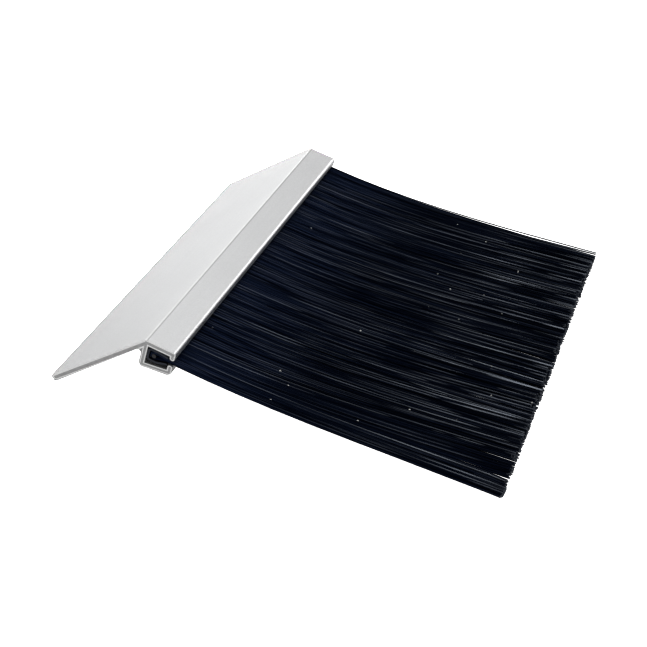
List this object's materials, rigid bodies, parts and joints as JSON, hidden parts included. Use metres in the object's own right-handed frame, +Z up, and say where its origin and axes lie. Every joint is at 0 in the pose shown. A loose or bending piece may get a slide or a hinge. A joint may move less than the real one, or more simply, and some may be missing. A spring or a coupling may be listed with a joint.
{
  "type": "brush door sweep",
  "caption": "Angled aluminium holder with a flange and a lipped channel, holding a slide-in strip brush of long black nylon bristles that seals the gap under a door.",
  "frame": {"origin": "on the surface that the sweep lies on, at the middle of its footprint; it lies on its flange's free edge and its bristle tips", "axes": "+X across the sweep towards the bristle tips, +Y along its length, +Z up from the surface"},
  "size_m": [0.107, 0.1016, 0.0178],
  "materials": {
    "clear_anodised_aluminium": "satin",
    "galvanised_backing": "satin",
    "core_wire_steel": "satin",
    "black_nylon_bristle": "satin"
  },
  "bodies": {
    "holder": {"holder_extrusion": "clear_anodised_aluminium"},
    "brush_insert": {"backing_channel": "galvanised_backing", "core_wire": "core_wire_steel", "bristle_root_01": "black_nylon_bristle", "bristle_root_02": "black_nylon_bristle", "bristle_root_03": "black_nylon_bristle", "bristle_root_04": "black_nylon_bristle", "bristle_root_05": "black_nylon_bristle", "bristle_root_06": "black_nylon_bristle", "bristle_root_07": "black_nylon_bristle", "bristle_root_08": "black_nylon_bristle", "bristle_root_09": "black_nylon_bristle", "bristle_root_10": "black_nylon_bristle", "bristle_root_11": "black_nylon_bristle", "bristle_root_12": "black_nylon_bristle", "bristle_root_13": "black_nylon_bristle", "bristle_root_14": "black_nylon_bristle", "bristle_root_15": "black_nylon_bristle", "bristle_root_16": "black_nylon_bristle"},
    "bundle_01": {"bristle_bundle_01": "black_nylon_bristle"},
    "bundle_02": {"bristle_bundle_02": "black_nylon_bristle"},
    "bundle_03": {"bristle_bundle_03": "black_nylon_bristle"},
    "bundle_04": {"bristle_bundle_04": "black_nylon_bristle"},
    "bundle_05": {"bristle_bundle_05": "black_nylon_bristle"},
    "bundle_06": {"bristle_bundle_06": "black_nylon_bristle"},
    "bundle_07": {"bristle_bundle_07": "black_nylon_bristle"},
    "bundle_08": {"bristle_bundle_08": "black_nylon_bristle"},
    "bundle_09": {"bristle_bundle_09": "black_nylon_bristle"},
    "bundle_10": {"bristle_bundle_10": "black_nylon_bristle"},
    "bundle_11": {"bristle_bundle_11": "black_nylon_bristle"},
    "bundle_12": {"bristle_bundle_12": "black_nylon_bristle"},
    "bundle_13": {"bristle_bundle_13": "black_nylon_bristle"},
    "bundle_14": {"bristle_bundle_14": "black_nylon_bristle"},
    "bundle_15": {"bristle_bundle_15": "black_nylon_bristle"},
    "bundle_16": {"bristle_bundle_16": "black_nylon_bristle"}
  },
  "joints": [
    {"name": "insert_slide", "type": "slide", "parent": "holder", "child": "brush_insert", "axis": [0, 1, 0], "range_m": [-0.1016, 0.1016]},
    {"name": "bundle_bend_01", "type": "hinge", "parent": "brush_insert", "child": "bundle_01", "pos_m": [-0.02069, -0.04763, 0.01249], "axis": [0, -1, 0], "range_deg": [-50, 40], "stiffness_Nm_per_rad": 0.0045, "springref_deg": -3.27},
    {"name": "bundle_bend_02", "type": "hinge", "parent": "brush_insert", "child": "bundle_02", "pos_m": [-0.02069, -0.04127, 0.01249], "axis": [0, -1, 0], "range_deg": [-50, 40], "stiffness_Nm_per_rad": 0.0045, "springref_deg": -3.27},
    {"name": "bundle_bend_03", "type": "hinge", "parent": "brush_insert", "child": "bundle_03", "pos_m": [-0.02069, -0.03492, 0.01249], "axis": [0, -1, 0], "range_deg": [-50, 40], "stiffness_Nm_per_rad": 0.0045, "springref_deg": -3.27},
    {"name": "bundle_bend_04", "type": "hinge", "parent": "brush_insert", "child": "bundle_04", "pos_m": [-0.02069, -0.02857, 0.01249], "axis": [0, -1, 0], "range_deg": [-50, 40], "stiffness_Nm_per_rad": 0.0045, "springref_deg": -3.27},
    {"name": "bundle_bend_05", "type": "hinge", "parent": "brush_insert", "child": "bundle_05", "pos_m": [-0.02069, -0.02223, 0.01249], "axis": [0, -1, 0], "range_deg": [-50, 40], "stiffness_Nm_per_rad": 0.0045, "springref_deg": -3.27},
    {"name": "bundle_bend_06", "type": "hinge", "parent": "brush_insert", "child": "bundle_06", "pos_m": [-0.02069, -0.01588, 0.01249], "axis": [0, -1, 0], "range_deg": [-50, 40], "stiffness_Nm_per_rad": 0.0045, "springref_deg": -3.27},
    {"name": "bundle_bend_07", "type": "hinge", "parent": "brush_insert", "child": "bundle_07", "pos_m": [-0.02069, -0.00953, 0.01249], "axis": [0, -1, 0], "range_deg": [-50, 40], "stiffness_Nm_per_rad": 0.0045, "springref_deg": -3.27},
    {"name": "bundle_bend_08", "type": "hinge", "parent": "brush_insert", "child": "bundle_08", "pos_m": [-0.02069, -0.00317, 0.01249], "axis": [0, -1, 0], "range_deg": [-50, 40], "stiffness_Nm_per_rad": 0.0045, "springref_deg": -3.27},
    {"name": "bundle_bend_09", "type": "hinge", "parent": "brush_insert", "child": "bundle_09", "pos_m": [-0.02069, 0.00317, 0.01249], "axis": [0, -1, 0], "range_deg": [-50, 40], "stiffness_Nm_per_rad": 0.0045, "springref_deg": -3.27},
    {"name": "bundle_bend_10", "type": "hinge", "parent": "brush_insert", "child": "bundle_10", "pos_m": [-0.02069, 0.00953, 0.01249], "axis": [0, -1, 0], "range_deg": [-50, 40], "stiffness_Nm_per_rad": 0.0045, "springref_deg": -3.27},
    {"name": "bundle_bend_11", "type": "hinge", "parent": "brush_insert", "child": "bundle_11", "pos_m": [-0.02069, 0.01588, 0.01249], "axis": [0, -1, 0], "range_deg": [-50, 40], "stiffness_Nm_per_rad": 0.0045, "springref_deg": -3.27},
    {"name": "bundle_bend_12", "type": "hinge", "parent": "brush_insert", "child": "bundle_12", "pos_m": [-0.02069, 0.02223, 0.01249], "axis": [0, -1, 0], "range_deg": [-50, 40], "stiffness_Nm_per_rad": 0.0045, "springref_deg": -3.27},
    {"name": "bundle_bend_13", "type": "hinge", "parent": "brush_insert", "child": "bundle_13", "pos_m": [-0.02069, 0.02857, 0.01249], "axis": [0, -1, 0], "range_deg": [-50, 40], "stiffness_Nm_per_rad": 0.0045, "springref_deg": -3.27},
    {"name": "bundle_bend_14", "type": "hinge", "parent": "brush_insert", "child": "bundle_14", "pos_m": [-0.02069, 0.03492, 0.01249], "axis": [0, -1, 0], "range_deg": [-50, 40], "stiffness_Nm_per_rad": 0.0045, "springref_deg": -3.27},
    {"name": "bundle_bend_15", "type": "hinge", "parent": "brush_insert", "child": "bundle_15", "pos_m": [-0.02069, 0.04127, 0.01249], "axis": [0, -1, 0], "range_deg": [-50, 40], "stiffness_Nm_per_rad": 0.0045, "springref_deg": -3.27},
    {"name": "bundle_bend_16", "type": "hinge", "parent": "brush_insert", "child": "bundle_16", "pos_m": [-0.02069, 0.04763, 0.01249], "axis": [0, -1, 0], "range_deg": [-50, 40], "stiffness_Nm_per_rad": 0.0045, "springref_deg": -3.27}
  ]
}
